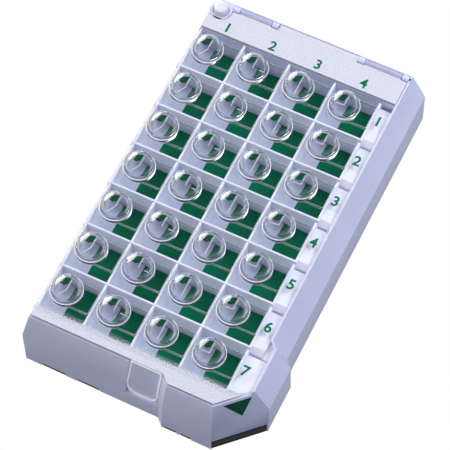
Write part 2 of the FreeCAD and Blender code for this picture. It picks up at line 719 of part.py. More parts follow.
def make_lid_hinge_band():
    """Back band of the lid, with two barrels on the hinge pins and notches for the knuckles."""
    body = new_body("lid_hinge_band")
    gap = dim("rack_gap")
    axis = (dim("hinge_y"), hinge_level)
    back = dim("edge_back") - dim("back_lip") - dim("lid_back_gap")
    left = dim("button_x") + dim("platform_radius") + gap
    extrude(body, "Plate", "XY_Plane", lid_low, body_height,
            polygons=[rectangle(left, dim("pad_right"), band_front, back)])
    block = dim("hinge_block") + gap
    for side, (start, end) in zip(("Left", "Right"), hinge_spans()):
        for part, low, high in (("Outer", start - gap, start + block), ("Inner", end - block, end + gap)):
            extrude(body, side + part + "Notch", "XY_Plane", lid_low - 1, body_height + 1, cut=True,
                    polygons=[rectangle(low, high, axis[0] - dim("barrel_radius") - gap, back + 1)])
        extrude(body, side + "Barrel", "YZ_Plane", start + block, end - block,
                circles=[(axis, dim("barrel_radius"))])
        extrude(body, side + "Bore", "YZ_Plane", start + block, end - block, cut=True,
                circles=[(axis, dim("pin_radius") + dim("pin_clearance"))])
    return body


def make_latch_tongue():
    """Clear tongue that hangs from the lid's front edge, along the front face."""
    body = new_body("latch_tongue")
    low = crease_level - dim("tongue_length")
    gap = dim("lid_gap")
    extrude(body, "Tongue", "YZ_Plane", dim("tongue_left"), dim("tongue_right"),
            polygons=[front_strip(gap, gap + dim("tongue_thickness"), low, lid_low)])
    tip = low + dim("tongue_round")
    left, right = dim("tongue_left"), dim("tongue_right")
    near = front_face_y("foot") - 1
    cut = dim("tongue_round")
    extrude(body, "TipCorners", "XZ_Plane", near, front_face_y("top"), cut=True, polygons=[
        [(left - 1, low - 1), (left + cut, low - 1), (left + cut, low), (left + cut / 2, low + cut / 8),
         (left + cut / 8, low + cut / 2), (left, tip), (left - 1, tip)],
        [(right + 1, low - 1), (right + 1, tip), (right, tip), (right - cut / 8, low + cut / 2),
         (right - cut / 2, low + cut / 8), (right - cut, low), (right - cut, low - 1)]])
    return body


def add_keyholes(body):
    """Openings that the press flaps lie in: one column of discs and tabs, repeated for each row."""
    gap = dim("flap_gap")
    y = half_rows - pitch / 2 + dim("flap_shift")
    sides = int(dim("flap_sides").number)
    discs = []
    tabs = []
    for column in range(COLUMNS):
        x = column_left(column) + dim("flap_offset")
        discs.append(regular_polygon(x, y, dim("flap_radius") + gap, sides))
        tabs.append(rectangle(x, x + dim("tab_reach") + gap, y - dim("tab_width") / 2 - gap,
                              y + dim("tab_width") / 2 + gap))
    first = extrude(body, "DiscHoles", "XY_Plane", lid_low - 1, body_height + 1, cut=True, polygons=discs)
    second = extrude(body, "TabHoles", "XY_Plane", lid_low - 1, body_height + 1, cut=True, polygons=tabs)
    pattern = repeat(body, "KeyholeRows", [first, second], "Y_Axis", dim("row_count"),
                     pitch * (dim("row_count") - 1))
    pattern.Reversed = True


def make_hinge_pin(side, start, end):
    pin = doc.addObject("Part::Cylinder", f"hinge_pin_{side}")
    pin.Label = f"hinge_pin_{side}"
    bind(pin, "Radius", dim("pin_radius"))
    bind(pin, "Height", end - start - 2 * dim("pin_end_gap"))
    pin.Placement.Rotation = FreeCAD.Rotation(FreeCAD.Vector(0, 1, 0), 90)
    place(pin, start + dim("pin_end_gap"), dim("hinge_y"), hinge_level)
    return pin


def make_flap_form():
    """The form that all flaps share: a tab, a raised disc and a clear dome, drawn round its centre."""
    body = new_body("flap_form")
    half_tab = dim("tab_width") / 2
    sides = int(dim("flap_sides").number)
    disc_top = body_height + dim("disc_rise")
    extrude(body, "Tab", "XY_Plane", lid_low, body_height,
            polygons=[rectangle(ZERO, dim("tab_reach"), -half_tab, half_tab)])
    extrude(body, "Disc", "XY_Plane", lid_low, disc_top,
            polygons=[regular_polygon(ZERO, ZERO, dim("flap_radius"), sides)])
    radius, top = dim("dome_radius"), disc_top + dim("dome_height")
    extrude(body, "DomeBlank", "XY_Plane", disc_top - dim("disc_rise") / 2, top,
            polygons=[regular_polygon(ZERO, ZERO, radius, sides)])
    facet = extrude(body, "DomeFacet", "XZ_Plane", -radius, radius, cut=True, polygons=[[
        (radius, disc_top + dim("dome_step")), (radius + 1, disc_top + dim("dome_step")),
        (radius + 1, top + 1), (dim("dome_cap"), top + 1), (dim("dome_cap"), top),
        (dim("dome_radius_3"), disc_top + dim("dome_height_3")),
        (dim("dome_radius_2"), disc_top + dim("dome_height_2"))]])
    pattern = body.newObject("PartDesign::PolarPattern", "DomeFacets")
    pattern.Originals = [facet]
    axis = next(item for item in body.Origin.OriginFeatures if item.Role == "Z_Axis")
    pattern.Axis = (axis, [""])
    pattern.Angle = 360
    bind(pattern, "Occurrences", dim("flap_sides"))
    body.Tip = pattern
    return body


def make_flap(form, row, column):
    """Press flap of one cell: the shared form, moved to its keyhole."""
    flap = doc.addObject("Part::Compound", f"flap_{row}_{column + 1}")
    flap.Label = flap.Name
    flap.Links = [form]
    place(flap, column_left(column) + dim("flap_offset"),
          row_front(row) + pitch / 2 + dim("flap_shift"))
    return flap


# ---------------------------------------------------------------- button and spring
def button_low():
    return trough_floor - dim("deck_thickness") - dim("rack_gap") - dim("ear_height")


def spring_seat_level():
    return button_low() - dim("spring_height")


def make_corner_button():
    body = new_body("corner_button")
    top = body_height + dim("button_height")
    low = button_low()
    radius = dim("button_radius")
    extrude(body, "Skirt", "XY_Plane", low, body_height, circles=[((ZERO, ZERO), radius)])
    cap = extrude(body, "Cap", "XY_Plane", body_height, top, circles=[((ZERO, ZERO), radius)])
    taper = math.degrees(math.atan((radius.number - dim("button_top_radius").number)
                                   / dim("button_height").number))
    cap.TaperAngle = -taper
    doc.recompute()
    rim = [f"Edge{index}" for index, edge in enumerate(cap.Shape.Edges, start=1)
           if edge.BoundBox.ZMin > top.number - dim("button_round").number / 2]
    bevel = body.newObject("PartDesign::Chamfer", "CapBevel")
    bevel.Base = (cap, rim)
    bind(bevel, "Size", dim("button_round"))
    half = dim("ear_width") / 2
    extrude(body, "EarRight", "XY_Plane", low, low + dim("ear_height"),
            polygons=[rectangle(ZERO, dim("ear_reach"), -half, half)])
    extrude(body, "EarFront", "XY_Plane", low, low + dim("ear_height"),
            polygons=[rectangle(-half, half, -dim("ear_reach"), ZERO)])
    extrude(body, "Stem", "XY_Plane", spring_seat_level() - dim("stem_length"), low + dim("ear_height"),
            circles=[((ZERO, ZERO), dim("stem_radius"))])
    place(body, dim("button_x"), dim("button_y"))
    return body


def make_button_spring():
    """Square wire wound round the stem, between the base plate's post and the button."""
    wire, sides = dim("spring_wire"), int(dim("spring_sides").number)
    bends = sides * int(dim("spring_turns").number)
    rise = (dim("spring_height") - wire - 2 * dim("spring_gap")) / (bends - 1)
    step = 2 * math.pi / sides
    length = dim("spring_radius") * (2 * math.tan(step / 2)) + wire * math.tan(step / 2)
    runs = []
    for index in range(bends):
        angle = step * index
        along, across = length / 2, dim("spring_radius") - wire / 2
        run = doc.addObject("Part::Box", f"spring_run_{index + 1}")
        for prop, size in (("Length", length), ("Width", wire), ("Height", wire)):
            bind(run, prop, size)
        run.Placement.Rotation = FreeCAD.Rotation(FreeCAD.Vector(0, 0, 1), math.degrees(angle))
        place(run, dim("button_x") - along * math.cos(angle) - across * math.sin(angle),
              dim("button_y") - along * math.sin(angle) + across * math.cos(angle),
              spring_seat_level() + dim("spring_gap") + rise * index)
        runs.append(run)
    spring = doc.addObject("Part::MultiFuse", "button_spring")
    spring.Label = "button_spring"
    spring.Shapes = runs
    return spring


# ---------------------------------------------------------------- dose drawer
def make_dose_drawer():
    """Open tray that slides out through the slot in the cut corner."""
    body = new_body("dose_drawer")
    face = corner_plane_sum() / ROOT_TWO - dim("drawer_inset")
    half = dim("slot_width") / 2 - dim("drawer_gap")
    wall = dim("drawer_wall")
    low = dim("base_thickness") + dim("drawer_gap")
    top = dim("slot_height") - dim("drawer_gap")
    back = face - dim("drawer_length")
    front = face - dim("drawer_nose")
    extrude(body, "Tray", "XY_Plane", low, top, polygons=[corner_block(back, front, half)])
    extrude(body, "Inside", "XY_Plane", low + dim("drawer_floor"), top + 1, cut=True,
            polygons=[corner_block(back + wall, front - wall, half - wall)])
    return body


# ---------------------------------------------------------------- build, check and export
def build_all():
    pieces = [make_upper_housing(), make_base_plate(), make_base_screws(), make_sheet_frame()]
    pieces += [make_collector(), make_floor_sheet()]
    pieces += [make_day_rack(row) for row in range(1, ROWS + 1)]
    pieces += [make_lid(), make_lid_hinge_band(), make_latch_tongue()]
    for side, (start, end) in zip(("left", "right"), hinge_spans()):
        pieces.append(make_hinge_pin(side, start, end))
    pieces += [make_corner_button(), make_button_spring(), make_dose_drawer()]
    form = make_flap_form()
    pieces += [make_flap(form, row, column) for row in range(1, ROWS + 1) for column in range(COLUMNS)]
    return pieces


def check(pieces):
    for item in doc.Objects:
        if "Invalid" in item.State or "Error" in item.State:
            raise RuntimeError(f"{item.Name} ({item.Label}) failed: {item.State}")
    for piece in pieces:
        shape = piece.Shape
        if shape.isNull() or not shape.isValid() or not shape.Solids:
            raise RuntimeError(f"{piece.Label} has no valid solid")


def export(pieces):
    os.makedirs("parts", exist_ok=True)
    for piece in pieces:
        piece.Shape.exportStep(f"parts/{piece.Label}.step")
        box = piece.Shape.BoundBox
        print(f"{piece.Label}: {len(piece.Shape.Solids)} solid, {piece.Shape.Volume:.1f} mm3,"
              f" x {box.XMin:.2f} {box.XMax:.2f} y {box.YMin:.2f} {box.YMax:.2f} z {box.ZMin:.2f} {box.ZMax:.2f}")


all_pieces = build_all()
doc.recompute()
check(all_pieces)
export(all_pieces)
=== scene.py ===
"""Looks for the weekly pill drawer organizer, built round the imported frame. Lengths are in metres."""
import json
import math

import bmesh
import bpy
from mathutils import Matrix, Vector


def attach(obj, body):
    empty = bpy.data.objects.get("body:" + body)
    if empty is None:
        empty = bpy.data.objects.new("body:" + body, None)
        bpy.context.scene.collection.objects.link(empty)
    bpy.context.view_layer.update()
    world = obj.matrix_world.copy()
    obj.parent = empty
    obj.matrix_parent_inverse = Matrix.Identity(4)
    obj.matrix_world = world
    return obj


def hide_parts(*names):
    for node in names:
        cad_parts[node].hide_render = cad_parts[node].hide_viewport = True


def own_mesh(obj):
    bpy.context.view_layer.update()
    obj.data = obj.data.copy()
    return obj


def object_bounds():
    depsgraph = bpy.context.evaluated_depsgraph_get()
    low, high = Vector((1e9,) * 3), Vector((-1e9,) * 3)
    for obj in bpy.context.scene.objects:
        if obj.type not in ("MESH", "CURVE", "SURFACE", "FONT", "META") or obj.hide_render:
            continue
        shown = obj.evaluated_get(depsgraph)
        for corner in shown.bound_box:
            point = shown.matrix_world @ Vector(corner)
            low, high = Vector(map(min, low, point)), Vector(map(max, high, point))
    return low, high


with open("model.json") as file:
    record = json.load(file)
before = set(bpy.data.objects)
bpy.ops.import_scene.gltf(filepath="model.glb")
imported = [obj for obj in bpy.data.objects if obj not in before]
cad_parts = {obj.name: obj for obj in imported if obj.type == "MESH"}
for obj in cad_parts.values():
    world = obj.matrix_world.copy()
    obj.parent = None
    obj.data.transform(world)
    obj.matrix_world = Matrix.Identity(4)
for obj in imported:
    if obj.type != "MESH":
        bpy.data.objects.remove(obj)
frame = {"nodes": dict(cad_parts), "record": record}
cad_low, cad_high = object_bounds()
nodes = frame["nodes"]
MM = 0.001

# camera: a long lens, high at the front right
VIEW_AZIMUTH = math.radians(26.06)
VIEW_ELEVATION = math.radians(61.3)
VIEW_DISTANCE = 1.072
VIEW_TARGET = Vector((0.01108, -0.0096, 0.0325))
VIEW_LENS = 178.9
SENSOR_WIDTH = 36.0

# the grid of cells, in millimetres as all the lengths of the object are
ROWS = 7
COLUMNS = 4
PITCH = 25.0
HALF_ROWS = 87.5
HALF_COLUMNS = 50.0

# underside and top of the lid, and top of the flaps' discs
LID_LOW = 32.8
LID_TOP = 34.0
DISC_TOP = 35.0

# the lid's outline: plain edges, the back of the hinge barrels, and the corner that bulges at the front right
LID_LEFT = -49.6
LID_RIGHT = 57.2
LID_FRONT = -93.1
LID_BACK = 101.6
BARREL_BACK = 105.35
BUTTON_NOTCH_FRONT = 95.5
LID_BULGE = ((20.28, LID_FRONT), (23.88, -96.7), (47.73, -96.7), (60.9, -83.53), (60.9, -59.3),
             (LID_RIGHT, -55.6))

# press flaps: place in the cell, slit round them, disc, dome and tab
FLAP_OFFSET = 9.9
FLAP_SHIFT = 0.3
SLIT = 0.3
DISC_RADIUS = 8.1
DISC_CHAMFER = 0.2
RIM_ROUNDING = 0.35
DOME_RADIUS = 7.18
DOME_WALL = 1.25
DOME_CENTRE = DISC_TOP + 1.5
DOME_SIDES = 72
TAB_REACH = 14.7
HALF_TAB = 6.6
TAB_CHAMFER = 0.12
TAB_EDGE = LID_TOP - 0.15
TAB_GAP = 0.02

# hinge bars, each with a housing knuckle at both ends and a clear barrel between them
HINGE_Y = 103.7
HINGE_LEVEL = 33.4
HINGE_SPANS = ((-39.0, -14.0), (30.0, 57.4))
KNUCKLE = 3.5
KNUCKLE_GAP = 0.3
BARREL_RADIUS = 1.75

# round button and the platform that it sits on
BUTTON_PLACE = (-44.7, 100.1)
PLATFORM_RADIUS = 5.7
PLATFORM_GAP = 0.3

# cut corner: its face's distance from the middle, its middle along that face, and the slant of its upper face
ROOT_TWO = math.sqrt(2)
CORNER_FACE = 109.224
CORNER_MIDDLE = -24.254
SLANT_LINE = 144.85
SLANT_RUN = 5.1
SLANT_RISE = 13.5

# slots of the clear pieces' materials
SIDE_MATERIAL = 1
EDGE_MATERIAL = 2
TAB_MATERIAL = 3


# ---------------------------------------------------------------- material helpers
BUMP_DEPTH = 0.0001
PLASTIC_IOR = 1.5


def new_material(name):
    """A node material, with its node tree and its main shader."""
    material = bpy.data.materials.new(name)
    material.use_nodes = True
    tree = material.node_tree
    return material, tree, tree.nodes["Principled BSDF"]


def add_node(tree, kind, inputs=None, **settings):
    """Adds a shader node. Each input is set to a value, or linked if it is another node's output."""
    node = tree.nodes.new(kind)
    for key, value in settings.items():
        setattr(node, key, value)
    for key, value in (inputs or {}).items():
        if isinstance(value, bpy.types.NodeSocket):
            tree.links.new(value, node.inputs[key])
        else:
            node.inputs[key].default_value = value
    return node


def math_node(tree, operation, *values):
    """Output of a Math node over values or other nodes' outputs."""
    node = add_node(tree, "ShaderNodeMath", dict(enumerate(values)), operation=operation)
    return node.outputs[0]


def place_axis(tree, axis):
    """One coordinate of the shaded point, in millimetres of the object's own space."""
    place = add_node(tree, "ShaderNodeTexCoord")
    split = add_node(tree, "ShaderNodeSeparateXYZ", {0: place.outputs["Object"]})
    return math_node(tree, "MULTIPLY", split.outputs[axis], 1 / MM)


def smooth_step(tree, value, start, end):
    """0 before start, 1 after end, and smooth in between."""
    node = add_node(tree, "ShaderNodeMapRange", {"Value": value, "From Min": start, "From Max": end},
                    interpolation_type="SMOOTHSTEP")
    return node.outputs[0]


def noise_value(tree, scale, detail=2.0):
    """Noise between 0 and 1, fixed to the object."""
    place = add_node(tree, "ShaderNodeTexCoord")
    noise = add_node(tree, "ShaderNodeTexNoise",
                     {"Vector": place.outputs["Object"], "Scale": scale, "Detail": detail})
    return noise.outputs["Fac"]


def mix_colour(tree, factor, first, second):
    """Blend from the first colour at 0 to the second at 1."""
    node = add_node(tree, "ShaderNodeMix", {"Factor": factor}, data_type="RGBA")
    for index, value in ((6, first), (7, second)):
        if isinstance(value, bpy.types.NodeSocket):
            tree.links.new(value, node.inputs[index])
        else:
            node.inputs[index].default_value = (*value, 1)
    return node.outputs[2]


def fine_bump(tree, scale, strength):
    """Fine uneven skin, as a normal."""
    bump = add_node(tree, "ShaderNodeBump", {"Height": noise_value(tree, scale), "Strength": strength,
                                             "Distance": BUMP_DEPTH})
    return bump.outputs["Normal"]


def moulded(name, low, high, roughness, bump_strength=0.04, scale=900.0, specular=0.5):
    """Injection-moulded plastic: slow shifts of tone, and a fine skin."""
    material, tree, shader = new_material(name)
    tone = smooth_step(tree, noise_value(tree, 35.0, 3.0), 0.3, 0.7)
    tree.links.new(mix_colour(tree, tone, low, high), shader.inputs["Base Color"])
    tree.links.new(fine_bump(tree, scale, bump_strength), shader.inputs["Normal"])
    shader.inputs["Roughness"].default_value = roughness
    shader.inputs["IOR"].default_value = PLASTIC_IOR
    shader.inputs["Specular IOR Level"].default_value = specular
    return material, tree, shader


# levels and places, in millimetres, between which the tray's painted shade and painted highlight change
PAINTED_SHADE_LEVELS = (15.0, 25.0)
HIGHLIGHT_RIM_LEVELS = (32.1, 32.35)
LIT_PAD_EDGE = (50.2, 50.4)


def make_tray_material():
    """Milky moulding with painted light: a faint painted glow, painted shade that greys it low in the cells,
    and a painted highlight on the walls' top edges and on the label pads.
    """
    material, tree, shader = moulded("tray_white", (0.82, 0.83, 0.93), (0.86, 0.87, 0.96), 0.30)
    # painted glow: the tray gives off a faint light of its own
    shader.inputs["Emission Color"].default_value = (0.62, 0.65, 0.80, 1)
    shader.inputs["Emission Strength"].default_value = 0.07
    height = place_axis(tree, 2)
    # painted shade: the moulding greys towards the bottom of the cells
    painted_shade = math_node(tree, "SUBTRACT", 1.0, smooth_step(tree, height, *PAINTED_SHADE_LEVELS))
    inner = mix_colour(tree, painted_shade, shader.inputs["Base Color"].links[0].from_socket, (0.50, 0.54, 0.66))
    # painted highlight: the walls' top edges and the label pads at the right are made whiter
    top = smooth_step(tree, height, *HIGHLIGHT_RIM_LEVELS)
    lit_pads = smooth_step(tree, place_axis(tree, 0), *LIT_PAD_EDGE)
    bright = math_node(tree, "MAXIMUM", top, lit_pads)
    tree.links.new(mix_colour(tree, bright, inner, (0.90, 0.90, 0.98)), shader.inputs["Base Color"])
    return material


# share of light that a clear face mirrors when seen square on, and what is added at a grazing angle
SQUARE_MIRROR = 0.017
GRAZING_MIRROR = 0.5


def clear_shader(tree, tint):
    """Transparent plastic with reflections that grow at grazing angles."""
    clear = add_node(tree, "ShaderNodeBsdfTransparent", {"Color": (*tint, 1)})
    gloss = add_node(tree, "ShaderNodeBsdfGlossy", {"Roughness": 0.03})
    slant = add_node(tree, "ShaderNodeLayerWeight", {"Blend": 0.5})
    grazing = math_node(tree, "POWER", slant.outputs["Facing"], 5.0)
    mirror = math_node(tree, "ADD", math_node(tree, "MULTIPLY", grazing, GRAZING_MIRROR), SQUARE_MIRROR)
    blend = add_node(tree, "ShaderNodeMixShader",
                     {0: mirror, 1: clear.outputs["BSDF"], 2: gloss.outputs["BSDF"]})
    return blend.outputs["Shader"]


# where the lid's frost begins at the back and ends at the front, in millimetres along y
FROST_BACK = (87.3, 87.7)
FROST_FRONT = (-90.5, -84.0)


def make_lid_material():
    """Clear in the middle, and frosted white in bands at the front and back."""
    material, tree, shader = new_material("clear_lid")
    y = place_axis(tree, 1)
    grain = noise_value(tree, 1500.0, 1.0)
    back = smooth_step(tree, y, *FROST_BACK)
    clearing = smooth_step(tree, y, *FROST_FRONT)
    unclear = math_node(tree, "SUBTRACT", 1.0, clearing)
    edge = math_node(tree, "MULTIPLY", math_node(tree, "MULTIPLY", clearing, unclear), 6.0)
    mottle = math_node(tree, "MULTIPLY", math_node(tree, "SUBTRACT", grain, 0.5), edge)
    front = math_node(tree, "ADD", math_node(tree, "POWER", unclear, 1.6), mottle)
    frost = math_node(tree, "MULTIPLY", math_node(tree, "MAXIMUM", front, back), 0.95)
    speck = smooth_step(tree, grain, 0.35, 0.65)
    frost_colour = mix_colour(tree, speck, (0.66, 0.67, 0.75), (0.79, 0.80, 0.85))
    tree.links.new(frost_colour, shader.inputs["Base Color"])
    shader.inputs["Roughness"].default_value = 0.42
    tree.links.new(fine_bump(tree, 1500.0, 0.25), shader.inputs["Normal"])
    clear = clear_shader(tree, (0.99, 0.99, 0.995))
    blend = add_node(tree, "ShaderNodeMixShader", {0: frost, 1: clear, 2: shader.outputs["BSDF"]})
    tree.links.new(blend.outputs["Shader"], tree.nodes["Material Output"].inputs["Surface"])
    return material


def make_edge_material(name, tint, cover, glow=0.0):
    """Cut or moulded edge of clear plastic, partly covered by an opaque tint; glow sets a painted glow, as if
    the edge gave off light.
    """
    material, tree, shader = new_material(name)
    shader.inputs["Base Color"].default_value = (*tint, 1)
    shader.inputs["Roughness"].default_value = 0.25
    # painted glow: the edge gives off light of its own, though it is no lamp
    shader.inputs["Emission Color"].default_value = (*tint, 1)
    shader.inputs["Emission Strength"].default_value = glow
    tree.links.new(fine_bump(tree, 2500.0, 0.1), shader.inputs["Normal"])
    grain = smooth_step(tree, noise_value(tree, 700.0), 0.2, 0.8)
    uneven = math_node(tree, "ADD", math_node(tree, "MULTIPLY", grain, 0.3), 0.85)
    factor = math_node(tree, "MULTIPLY", uneven, cover)
    clear = clear_shader(tree, (0.97, 0.975, 0.99))
    blend = add_node(tree, "ShaderNodeMixShader", {0: factor, 1: clear, 2: shader.outputs["BSDF"]})
    tree.links.new(blend.outputs["Shader"], tree.nodes["Material Output"].inputs["Surface"])
    return material


def make_dome_material():
    """Thick clear plastic that bends light, and lets lamp light through to the cell."""
    material, tree, shader = new_material("clear_flap")
    tree.nodes.remove(shader)
    glass = add_node(tree, "ShaderNodeBsdfGlass",
                     {"IOR": 1.49, "Roughness": 0.0, "Color": (0.99, 0.99, 0.995, 1)})
    clear = add_node(tree, "ShaderNodeBsdfTransparent", {"Color": (0.96, 0.97, 0.98, 1)})
    path = add_node(tree, "ShaderNodeLightPath")
    unseen = math_node(tree, "MAXIMUM", path.outputs["Is Shadow Ray"], path.outputs["Is Diffuse Ray"])
    blend = add_node(tree, "ShaderNodeMixShader",
                     {0: unseen, 1: glass.outputs["BSDF"], 2: clear.outputs["BSDF"]})
    tree.links.new(blend.outputs["Shader"], tree.nodes["Material Output"].inputs["Surface"])
    return material


MATERIALS = {
    "white_shell": moulded("white_shell", (0.71, 0.72, 0.88), (0.75, 0.76, 0.91), 0.30, specular=0.2)[0],
    "tray_white": make_tray_material(),
    "dark_base": moulded("dark_base", (0.020, 0.021, 0.023), (0.030, 0.031, 0.033), 0.5,
                         bump_strength=0.2, scale=2500.0, specular=0.2)[0],
    "green_sheet": moulded("green_sheet", (0.0, 0.14, 0.060), (0.0, 0.19, 0.088), 0.28, specular=0.10)[0],
    "button_white": moulded("button_white", (0.80, 0.80, 0.88), (0.84, 0.84, 0.91), 0.35)[0],
    "hopper_white": moulded("hopper_white", (0.62, 0.63, 0.68), (0.66, 0.67, 0.72), 0.45)[0],
    "drawer_dark": moulded("drawer_dark", (0.020, 0.023, 0.022), (0.034, 0.036, 0.036), 0.5,
                           bump_strength=0.15, scale=2500.0, specular=0.15)[0],
    "steel": moulded("steel", (0.50, 0.50, 0.51), (0.60, 0.60, 0.61), 0.3)[0],
    "clear_lid": make_lid_material(),
    "clear_flap": make_dome_material(),
}
MATERIALS["steel"].node_tree.nodes["Principled BSDF"].inputs["Metallic"].default_value = 1.0
# painted highlight: a near-white cover and a painted glow on the bevels and rims of the clear pieces, for the
# white lines along their edges
HIGHLIGHT_EDGE = make_edge_material("painted_highlight_edge", (0.95, 0.95, 1.0), 0.7, 0.4)
# painted shade: a dark cover on the upright sides of the lid and of the flaps' tabs, for the dark lines along
# the slits
SHADED_SIDE = make_edge_material("painted_shade_side", (0.10, 0.13, 0.13), 0.35)
# painted glow: the latch tongue gives off a faint light of its own
TONGUE_CLEAR = make_edge_material("tongue_clear", (0.80, 0.82, 0.92), 0.22, 0.08)
BAR_CLEAR = make_edge_material("bar_clear", (0.62, 0.62, 0.80), 0.75)
LABEL_GREEN = moulded("label_green", (0.0, 0.16, 0.065), (0.0, 0.19, 0.08), 0.5, specular=0.15)[0]
# green of the printed pointer on the cut corner, and of the painted refraction at the back of every disc
POINTER_AND_REFRACTION_GREEN = moulded("pointer_and_refraction_green", (0.0, 0.075, 0.030), (0.0, 0.090, 0.038), 0.5, specular=0.15)[0]
HAND_WHITE = moulded("hand_white", (0.90, 0.90, 0.95), (0.96, 0.96, 1.0), 0.4)[0]


# ---------------------------------------------------------------- mesh helpers
# how near two points count as one, in metres, and how little two faces may turn to count as flat
SAME_PLACE = 0.000002
FLAT_ANGLE = math.radians(0.6)


def add_piece(name, mesh, body, slot, *materials, hides=()):
    """Adds a mesh as a piece that rides on a body and stands for the CAD nodes it hides."""
    piece = bpy.data.objects.new(name, mesh)
    bpy.context.scene.collection.objects.link(piece)
    if not mesh.materials:
        for material in materials:
            mesh.materials.append(material)
    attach(piece, body)
    if hides:
        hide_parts(*hides)
    return piece


def mesh_from(name, build, smooth=False, angle=35.0):
    """Makes a mesh in metres from a bmesh that build fills in millimetres."""
    form = bmesh.new()
    build(form)
    bmesh.ops.scale(form, vec=(MM, MM, MM), verts=form.verts)
    mesh = bpy.data.meshes.new(name)
    form.to_mesh(mesh)
    form.free()
    if smooth:
        mesh.shade_smooth()
        mesh.set_sharp_from_angle(angle=math.radians(angle))
    return mesh


def add_prism(form, outline, low, high, side_material=0):
    """Closed upright prism over an outline given anticlockwise."""
    bottom = [form.verts.new((x, y, low)) for x, y in outline]
    top = [form.verts.new((x, y, high)) for x, y in outline]
    form.faces.new(list(reversed(bottom)))
    form.faces.new(top)
    count = len(outline)
    for index in range(count):
        following = (index + 1) % count
        face = form.faces.new((bottom[index], bottom[following], top[following], top[index]))
        face.material_index = side_material


def add_tapered_rim(form, outline, inner, low, high):
    """Puts a chamfer and a top face on the flat face that lies over an outline."""
    lower = {(round(vertex.co.x, 5), round(vertex.co.y, 5)): vertex for vertex in form.verts
             if abs(vertex.co.z - low) < 0.0001}
    bottom = [lower[(round(x, 5), round(y, 5))] for x, y in outline]
    top = [form.verts.new((x, y, high)) for x, y in inner]
    form.faces.remove(form.faces.get(bottom))
    form.faces.new(top)
    for index in range(len(outline)):
        following = (index + 1) % len(outline)
        face = form.faces.new((bottom[index], bottom[following], top[following], top[index]))
        face.material_index = EDGE_MATERIAL


def add_lathe(form, profile, sides, centre=(0.0, 0.0), material_of=None):
    """Turns a profile of (radius, level) points, from the axis at the bottom to the axis at the top."""
    rings = []
    for radius, level in profile:
        if radius == 0:
            rings.append([form.verts.new((centre[0], centre[1], level))])
            continue
        turns = [2 * math.pi * step / sides for step in range(sides)]
        rings.append([form.verts.new((centre[0] + radius * math.cos(turn),
                                      centre[1] + radius * math.sin(turn), level)) for turn in turns])
    for number, (lower, upper) in enumerate(zip(rings, rings[1:])):
        for step in range(sides):
            following = (step + 1) % sides
            corners = [lower[step % len(lower)], lower[following % len(lower)],
                       upper[following % len(upper)], upper[step % len(upper)]]
            face = form.faces.new(list(dict.fromkeys(corners)))
            if material_of:
                face.material_index = material_of(number)


def arc(centre, radius, start, end, steps):
    """Points of an arc, with its angles in degrees."""
    angles = [math.radians(start + (end - start) * index / steps) for index in range(steps + 1)]
    return [(centre[0] + radius * math.cos(angle), centre[1] + radius * math.sin(angle))
            for angle in angles]


def bevel_piece(piece, width, segments=3, angle=25.0, material=-1):
    """Rounds a piece's sharp edges, and applies it to the mesh."""
    modifier = piece.modifiers.new("edges", "BEVEL")
    modifier.width = width * MM
    modifier.segments = segments
    modifier.limit_method = "ANGLE"
    modifier.angle_limit = math.radians(angle)
    modifier.harden_normals = True
    modifier.material = material
    piece.data.shade_smooth()
    depsgraph = bpy.context.evaluated_depsgraph_get()
    finished = bpy.data.meshes.new_from_object(piece.evaluated_get(depsgraph))
    piece.modifiers.clear()
    piece.data = finished


def polished_copy(node, width, body, slot):
    """A copy of a CAD node with its edges rounded off, which stands for the node."""
    form = bmesh.new()
    form.from_mesh(nodes[node].data)
    bmesh.ops.remove_doubles(form, verts=form.verts, dist=SAME_PLACE)
    bmesh.ops.dissolve_limit(form, angle_limit=FLAT_ANGLE, verts=form.verts, edges=form.edges)
    mesh = bpy.data.meshes.new(f"{node}_shell")
    form.to_mesh(mesh)
    form.free()
    piece = add_piece(f"{node}_shell", mesh, body, slot, MATERIALS[slot], hides=(node,))
    bevel_piece(piece, width)
    return piece


# ---------------------------------------------------------------- lid and flaps
def row_middle(row):
    """Middle of a row's discs along y."""
    return HALF_ROWS - PITCH * (row + 0.5) + FLAP_SHIFT


def disc_middle(column):
    """Middle of a column's discs along x."""
    return column * PITCH - HALF_COLUMNS + FLAP_OFFSET


def keyhole_outline(x, y, gap):
    """Outline of a disc joined to a tab, anticlockwise, from the tab's lower right corner."""
    radius, half = DISC_RADIUS + gap, HALF_TAB + gap
    start = math.degrees(math.asin(half / radius))
    right = x + TAB_REACH + gap
    return [(right, y - half), (right, y + half), *arc((x, y), radius, start, 360 - start, 56)]


def lid_outline():
    """Outline of the lid, with notches for the hinge knuckles and the button's platform."""
    x, y = BUTTON_PLACE
    reach = PLATFORM_RADIUS + PLATFORM_GAP
    left_bar, right_bar = HINGE_SPANS
    last_notch = left_bar[0] + KNUCKLE + KNUCKLE_GAP
    knuckles = ((right_bar[1] - KNUCKLE - KNUCKLE_GAP, right_bar[1] + KNUCKLE_GAP),
                (right_bar[0] - KNUCKLE_GAP, right_bar[0] + KNUCKLE + KNUCKLE_GAP),
                (left_bar[1] - KNUCKLE - KNUCKLE_GAP, left_bar[1] + KNUCKLE_GAP))
    points = [(LID_LEFT, LID_FRONT), *LID_BULGE, (LID_RIGHT, LID_BACK)]
    for start, end in knuckles:
        if end < LID_RIGHT:
            points += [(end, BARREL_BACK), (end, LID_BACK)]
        points += [(start, LID_BACK), (start, BARREL_BACK)]
    points += [(last_notch, BARREL_BACK), (last_notch, LID_BACK), (x + reach, LID_BACK),
               *arc((x, y), reach, 0, -50, 8), (x - 1.0, BUTTON_NOTCH_FRONT), (LID_LEFT, BUTTON_NOTCH_FRONT)]
    return points


